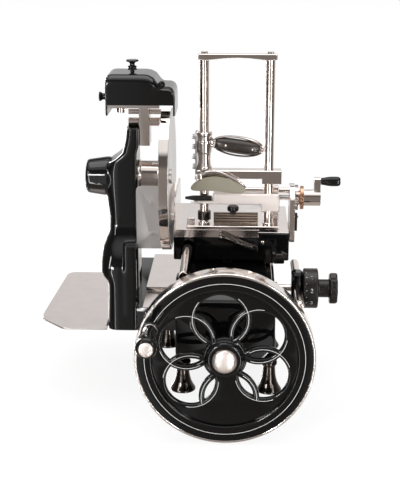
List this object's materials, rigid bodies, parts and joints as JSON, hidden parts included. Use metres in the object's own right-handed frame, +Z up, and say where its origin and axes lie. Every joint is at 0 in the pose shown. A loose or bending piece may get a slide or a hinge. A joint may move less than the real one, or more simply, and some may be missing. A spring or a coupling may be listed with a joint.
{
  "type": "hand crank meat slicer",
  "caption": "Hand-cranked meat slicer with a spoked flywheel that turns a round knife while a sliding carriage carries the food past it.",
  "frame": {"origin": "on the table, under the middle of the whole slicer's box", "axes": "+Z up; the flywheel faces -Y, towards the operator's view; the knife and its column stand at -X"},
  "size_m": [0.588, 0.624, 0.6808],
  "materials": {
    "gloss_black": "gloss black enamel",
    "wheel_black": "gloss black enamel with a polished tread",
    "hood_black": "gloss black enamel",
    "dark_nickel": "dark satin plating",
    "nickel": "polished",
    "steel": "fine ground",
    "warm_steel": "polished",
    "brushed": "brushed",
    "blackened": "satin black",
    "brass": "satin copper tone",
    "stone": "gritty abrasive",
    "grip_black": "glossy"
  },
  "bodies": {
    "base": {"base_casting": "gloss_black", "foot_front_left": "dark_nickel", "foot_front_right": "dark_nickel", "foot_rear_left": "dark_nickel", "foot_rear_right": "dark_nickel", "right_rail": "nickel", "left_guide_rod": "nickel", "receiving_deck": "warm_steel", "column_casting": "gloss_black", "column_cover": "gloss_black", "knife_bearing_housing": "nickel", "guard_ring": "nickel", "front_guard_plate": "brushed", "sharpener_bracket": "nickel", "sharpener_housing": "hood_black", "honing_knob": "nickel", "cam_rod": "warm_steel", "dial_bracket": "gloss_black", "drive_chain": "steel"},
    "tray": {"slice_tray": "warm_steel"},
    "flywheel": {"flywheel": "wheel_black", "flywheel_hub_cap": "nickel", "flywheel_shaft": "steel", "handle_spindle": "nickel"},
    "handle": {"handle_grip": "grip_black"},
    "crank": {"crank_gear": "steel"},
    "cross": {"cross_shaft": "steel"},
    "knife": {"knife_shaft": "steel", "knife": "steel"},
    "sharpener": {"sharpener_knob": "grip_black"},
    "grinding_stone": {"grinding_stone": "stone"},
    "honing_stone": {"honing_stone": "stone"},
    "side_knob": {"grinding_knob": "nickel"},
    "carriage": {"carriage_casting": "gloss_black", "carriage_top_plate": "warm_steel", "carriage_fence": "warm_steel", "feed_bracket": "warm_steel"},
    "roller": {"carriage_roller": "steel"},
    "lever": {"carriage_lever": "blackened"},
    "connecting_rod": {"connecting_rod": "steel"},
    "feed": {"feed_screw": "steel", "ratchet_wheel": "nickel", "index_disc": "brass", "feed_crank": "nickel"},
    "feed_grip": {"feed_crank_grip": "grip_black"},
    "pawl": {"pawl_arm": "blackened"},
    "table": {"meat_table": "warm_steel", "press_rod_left": "nickel", "press_rod_right": "nickel", "press_top_bar": "nickel", "rod_nut": "dark_nickel", "lower_tie_bar": "warm_steel", "stop_peg": "blackened", "clamp_plate": "steel"},
    "clamp_knob": {"clamp_knob": "grip_black"},
    "press": {"press_slide": "nickel", "press_grip": "grip_black", "spike_plate": "steel"},
    "leaf": {"leaf_lever": "nickel"},
    "dial": {"thickness_dial": "blackened"}
  },
  "joints": [
    {"name": "flywheel_spin", "type": "hinge", "parent": "base", "child": "flywheel", "pos_m": [0.0745, -0.215, 0.1665], "axis": [0, 1, 0], "continuous": true},
    {"name": "handle_spin", "type": "hinge", "parent": "flywheel", "child": "handle", "pos_m": [-0.0575, -0.215, 0.2245], "axis": [0, 1, 0], "continuous": true},
    {"name": "crank_spin", "type": "hinge", "parent": "base", "child": "crank", "pos_m": [0.0745, -0.045, 0.2085], "axis": [0, 0, 1], "continuous": true},
    {"name": "cross_spin", "type": "hinge", "parent": "base", "child": "cross", "pos_m": [0.0745, 0.035, 0.1665], "axis": [1, 0, 0], "continuous": true},
    {"name": "knife_spin", "type": "hinge", "parent": "base", "child": "knife", "pos_m": [-0.0755, 0.047, 0.4405], "axis": [1, 0, 0], "continuous": true},
    {"name": "carriage_slide", "type": "slide", "parent": "base", "child": "carriage", "axis": [0, 1, 0], "range_m": [-0.14, 0]},
    {"name": "roller_spin", "type": "hinge", "parent": "carriage", "child": "roller", "pos_m": [0.1555, 0.121, 0.2758], "axis": [1, 0, 0], "range_deg": [-20, 900]},
    {"name": "lever_swing", "type": "hinge", "parent": "carriage", "child": "lever", "pos_m": [0.1265, 0.025, 0.3045], "axis": [0, 1, 0], "range_deg": [-20, 30]},
    {"name": "connecting_rod_swing", "type": "hinge", "parent": "carriage", "child": "connecting_rod", "pos_m": [0.0745, 0.2, 0.2275], "axis": [0, 0, 1], "range_deg": [-22, 22]},
    {"name": "feed_turn", "type": "hinge", "parent": "carriage", "child": "feed", "pos_m": [0.205, 0.075, 0.3935], "axis": [1, 0, 0], "range_deg": [-1260, 1116]},
    {"name": "feed_grip_spin", "type": "hinge", "parent": "feed", "child": "feed_grip", "pos_m": [0.2745, 0.075, 0.4265], "axis": [1, 0, 0], "continuous": true},
    {"name": "pawl_swing", "type": "hinge", "parent": "carriage", "child": "pawl", "pos_m": [0.2065, 0.075, 0.3545], "axis": [1, 0, 0], "range_deg": [-25, 25]},
    {"name": "table_slide", "type": "slide", "parent": "carriage", "child": "table", "axis": [1, 0, 0], "range_m": [-0.018, 0.016]},
    {"name": "press_lift", "type": "slide", "parent": "table", "child": "press", "axis": [0, 0, 1], "range_m": [-0.018, 0.13]},
    {"name": "leaf_swing", "type": "hinge", "parent": "press", "child": "leaf", "pos_m": [0.0185, 0.03, 0.4445], "axis": [0, 1, 0], "range_deg": [-40, 12]},
    {"name": "clamp_knob_turn", "type": "hinge", "parent": "table", "child": "clamp_knob", "pos_m": [0.085, 0.0385, 0.3765], "axis": [0, 0, 1], "range_deg": [-180, 180]},
    {"name": "dial_turn", "type": "hinge", "parent": "base", "child": "dial", "pos_m": [0.2345, -0.068, 0.255], "axis": [1, 0, 0], "range_deg": [-90, 180]},
    {"name": "sharpener_lift", "type": "slide", "parent": "base", "child": "sharpener", "axis": [0, 0, 1], "range_m": [-0.004, 0]},
    {"name": "grinding_spin", "type": "hinge", "parent": "sharpener", "child": "grinding_stone", "pos_m": [-0.0455, 0.047, 0.5985], "axis": [1, 0, 0], "continuous": true},
    {"name": "honing_spin", "type": "hinge", "parent": "sharpener", "child": "honing_stone", "pos_m": [-0.0455, 0.0755, 0.5985], "axis": [1, 0, 0], "continuous": true},
    {"name": "side_knob_turn", "type": "hinge", "parent": "base", "child": "side_knob", "pos_m": [-0.1605, 0.047, 0.595], "axis": [1, 0, 0], "range_deg": [-180, 180]},
    {"name": "tray_pull", "type": "slide", "parent": "base", "child": "tray", "axis": [-1, 0, 0], "range_m": [0, 0.06]}
  ],
  "couplings": [
    {"joint": "crank_spin", "follows": "flywheel_spin", "ratio": 0.5},
    {"joint": "cross_spin", "follows": "flywheel_spin", "ratio": -1.375},
    {"joint": "knife_spin", "follows": "flywheel_spin", "ratio": -1.7188},
    {"joint": "table_slide", "follows": "feed_turn", "m_per_rad": 0.00079577},
    {"joint": "roller_spin", "follows": "carriage_slide", "rad_per_m": -111.11}
  ]
}
